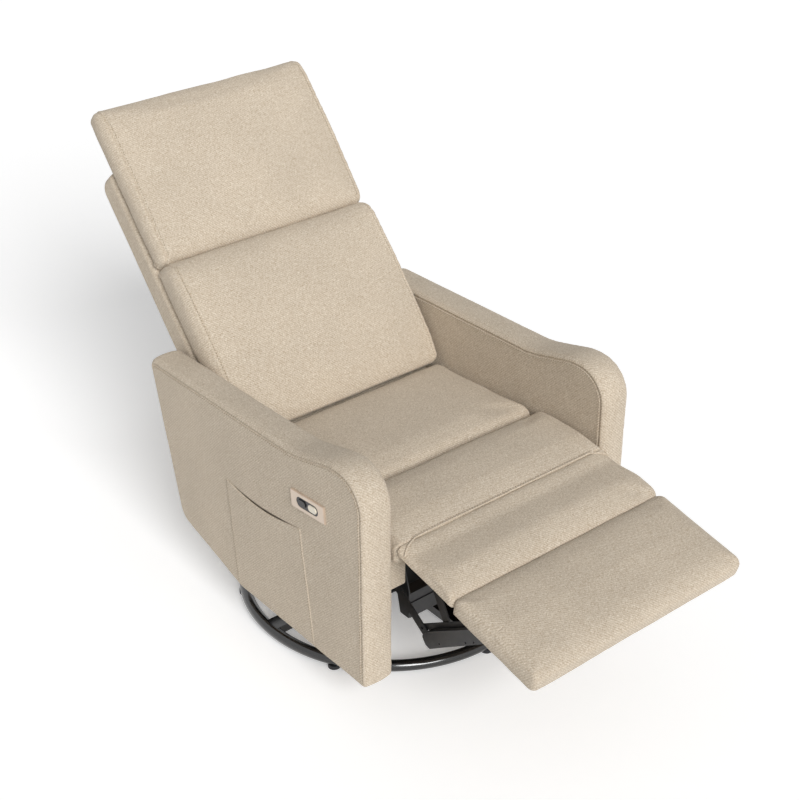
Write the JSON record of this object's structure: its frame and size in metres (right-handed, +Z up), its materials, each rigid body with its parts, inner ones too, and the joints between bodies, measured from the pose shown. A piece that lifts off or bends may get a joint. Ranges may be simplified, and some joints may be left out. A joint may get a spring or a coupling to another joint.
{
  "type": "power swivel rocker recliner",
  "caption": "Upholstered power recliner on a round swivel base that rocks, with tall curved side panels, a linked legrest, a reclining back, a side pocket and a push-button panel.",
  "frame": {"origin": "where the swivel axis meets the floor", "axes": "+Z up along the swivel axis, -Y the way the sitter faces, +X the sitter's left"},
  "size_m": [0.726, 1.4701, 0.9982],
  "materials": {
    "oat_fabric": "woven upholstery cloth over foam",
    "beech_ply": "sanded plywood",
    "black_steel": "satin powder coat",
    "black_paint_gloss": "gloss powder coat",
    "zinc_steel": "zinc plated",
    "bright_steel": "ground steel",
    "spring_steel": "oiled spring wire",
    "aluminium": "mill finish",
    "ivory_nylon": "moulded nylon",
    "black_plastic": "moulded, matt",
    "piano_black": "polished",
    "dark_button": "polished",
    "ivory_button": "polished",
    "champagne_metal": "satin anodised"
  },
  "bodies": {
    "base": {"base_ring": "black_paint_gloss", "base_bars": "black_paint_gloss", "floor_glides": "black_plastic", "lower_swivel_plate": "black_steel", "king_bolt": "zinc_steel", "bearing_balls": "bright_steel", "bearing_cage": "ivory_nylon"},
    "turntable": {"upper_swivel_plate": "black_steel", "swivel_crossmembers": "black_steel", "rocker_rails": "black_steel", "rocker_springs": "spring_steel"},
    "frame": {"rocker_cams": "beech_ply", "spring_bars": "black_steel", "frame_cross_rails": "black_steel", "frame_side_plates": "black_steel", "swing_bolts": "zinc_steel", "arm_bolts": "zinc_steel", "arm_panels": "beech_ply", "arm_left": "oat_fabric", "arm_right": "oat_fabric", "side_pocket": "oat_fabric", "control_plate": "champagne_metal", "switch_housing": "piano_black", "rear_rail": "oat_fabric", "power_inlet": "black_plastic"},
    "front_swing": {"front_swing_links": "black_steel"},
    "rear_swing": {"rear_swing_links": "black_steel"},
    "seat": {"seat_plates": "black_steel", "seat_rivets": "zinc_steel", "front_channel": "black_steel", "seat_cross_tubes": "black_steel", "seat_side_rails": "beech_ply", "seat_end_rails": "beech_ply", "seat_springs": "spring_steel", "seat_cushion": "oat_fabric", "seat_front_roll": "oat_fabric", "seat_corner_pads": "oat_fabric", "actuator_track": "aluminium", "lead_screw": "bright_steel", "drive_motor": "black_plastic", "motor_bracket": "black_steel", "flap_pad": "oat_fabric"},
    "carriage": {"drive_carriage": "ivory_nylon"},
    "drive_links": {"drive_tube": "black_steel", "long_links": "black_steel"},
    "elbow_links": {"elbow_links": "black_steel"},
    "footrest_bars": {"footrest_bars": "black_steel"},
    "steering_links": {"steering_links": "black_steel"},
    "footrest": {"footrest_brackets": "black_steel", "footrest_board": "beech_ply", "footrest_pad": "oat_fabric"},
    "back": {"back_brackets": "black_steel", "back_stiles": "beech_ply", "back_rails": "beech_ply", "back_springs": "spring_steel", "back_shell": "oat_fabric", "lumbar_cushion": "oat_fabric", "head_cushion": "oat_fabric"},
    "open_button": {"open_button": "ivory_button"},
    "close_button": {"close_button": "dark_button"}
  },
  "joints": [
    {"name": "swivel", "type": "hinge", "parent": "base", "child": "turntable", "pos_m": [0, 0, 0], "axis": [0, 0, 1], "continuous": true},
    {"name": "rock", "type": "hinge", "parent": "turntable", "child": "frame", "pos_m": [0, 0, 0.455], "axis": [1, 0, 0], "range_deg": [-8, 4], "stiffness_Nm_per_rad": 900, "deforming": ["rocker_springs"]},
    {"name": "recline", "type": "hinge", "parent": "frame", "child": "front_swing", "pos_m": [0, -0.02, 0.17], "axis": [-1, 0, 0], "range_deg": [0, 34.91]},
    {"name": "seat_hang", "type": "hinge", "parent": "front_swing", "child": "seat", "pos_m": [0, -0.05, 0.26539], "axis": [-1, 0, 0], "range_deg": [-34.91, 0]},
    {"name": "rear_swing", "type": "hinge", "parent": "frame", "child": "rear_swing", "pos_m": [0, 0.13, 0.17], "axis": [-1, 0, 0], "range_deg": [0, 34.91]},
    {"name": "back_fold", "type": "hinge", "parent": "seat", "child": "back", "pos_m": [0, 0.125, 0.33], "axis": [1, 0, 0], "range_deg": [0, 27.01]},
    {"name": "legrest", "type": "hinge", "parent": "seat", "child": "footrest", "pos_m": [0, -0.41496, 0.44908], "axis": [1, 0, 0], "range_deg": [0, 82], "deforming": ["flap_pad"]},
    {"name": "drive_turn", "type": "hinge", "parent": "seat", "child": "drive_links", "pos_m": [0, -0.21992, 0.31888], "axis": [1, 0, 0], "range_deg": [0, 82]},
    {"name": "elbow_turn", "type": "hinge", "parent": "seat", "child": "elbow_links", "pos_m": [0, -0.27843, 0.35794], "axis": [1, 0, 0], "range_deg": [0, 82]},
    {"name": "bar_turn", "type": "hinge", "parent": "drive_links", "child": "footrest_bars", "pos_m": [0, -0.405, 0.192], "axis": [1, 0, 0], "range_deg": [-82, 0]},
    {"name": "steer_turn", "type": "hinge", "parent": "drive_links", "child": "steering_links", "pos_m": [0, -0.38356, 0.2067], "axis": [1, 0, 0], "range_deg": [-82, 0]},
    {"name": "carriage_slide", "type": "slide", "parent": "seat", "child": "carriage", "axis": [0, 1, 0], "range_m": [0, 0.07874]},
    {"name": "open_press", "type": "slide", "parent": "frame", "child": "open_button", "axis": [1, 0, 0], "range_m": [0, 0.0015], "stiffness_N_per_m": 900},
    {"name": "close_press", "type": "slide", "parent": "frame", "child": "close_button", "axis": [1, 0, 0], "range_m": [0, 0.0015], "stiffness_N_per_m": 900}
  ],
  "couplings": [
    {"joint": "seat_hang", "follows": "recline", "ratio": -1},
    {"joint": "rear_swing", "follows": "recline", "ratio": 1},
    {"joint": "back_fold", "follows": "recline", "ratio": 0.77342},
    {"joint": "drive_turn", "follows": "legrest", "ratio": 1},
    {"joint": "elbow_turn", "follows": "legrest", "ratio": 1},
    {"joint": "bar_turn", "follows": "legrest", "ratio": -1},
    {"joint": "steer_turn", "follows": "legrest", "ratio": -1},
    {"joint": "carriage_slide", "follows": "legrest", "m_per_rad": 0.055009}
  ]
}
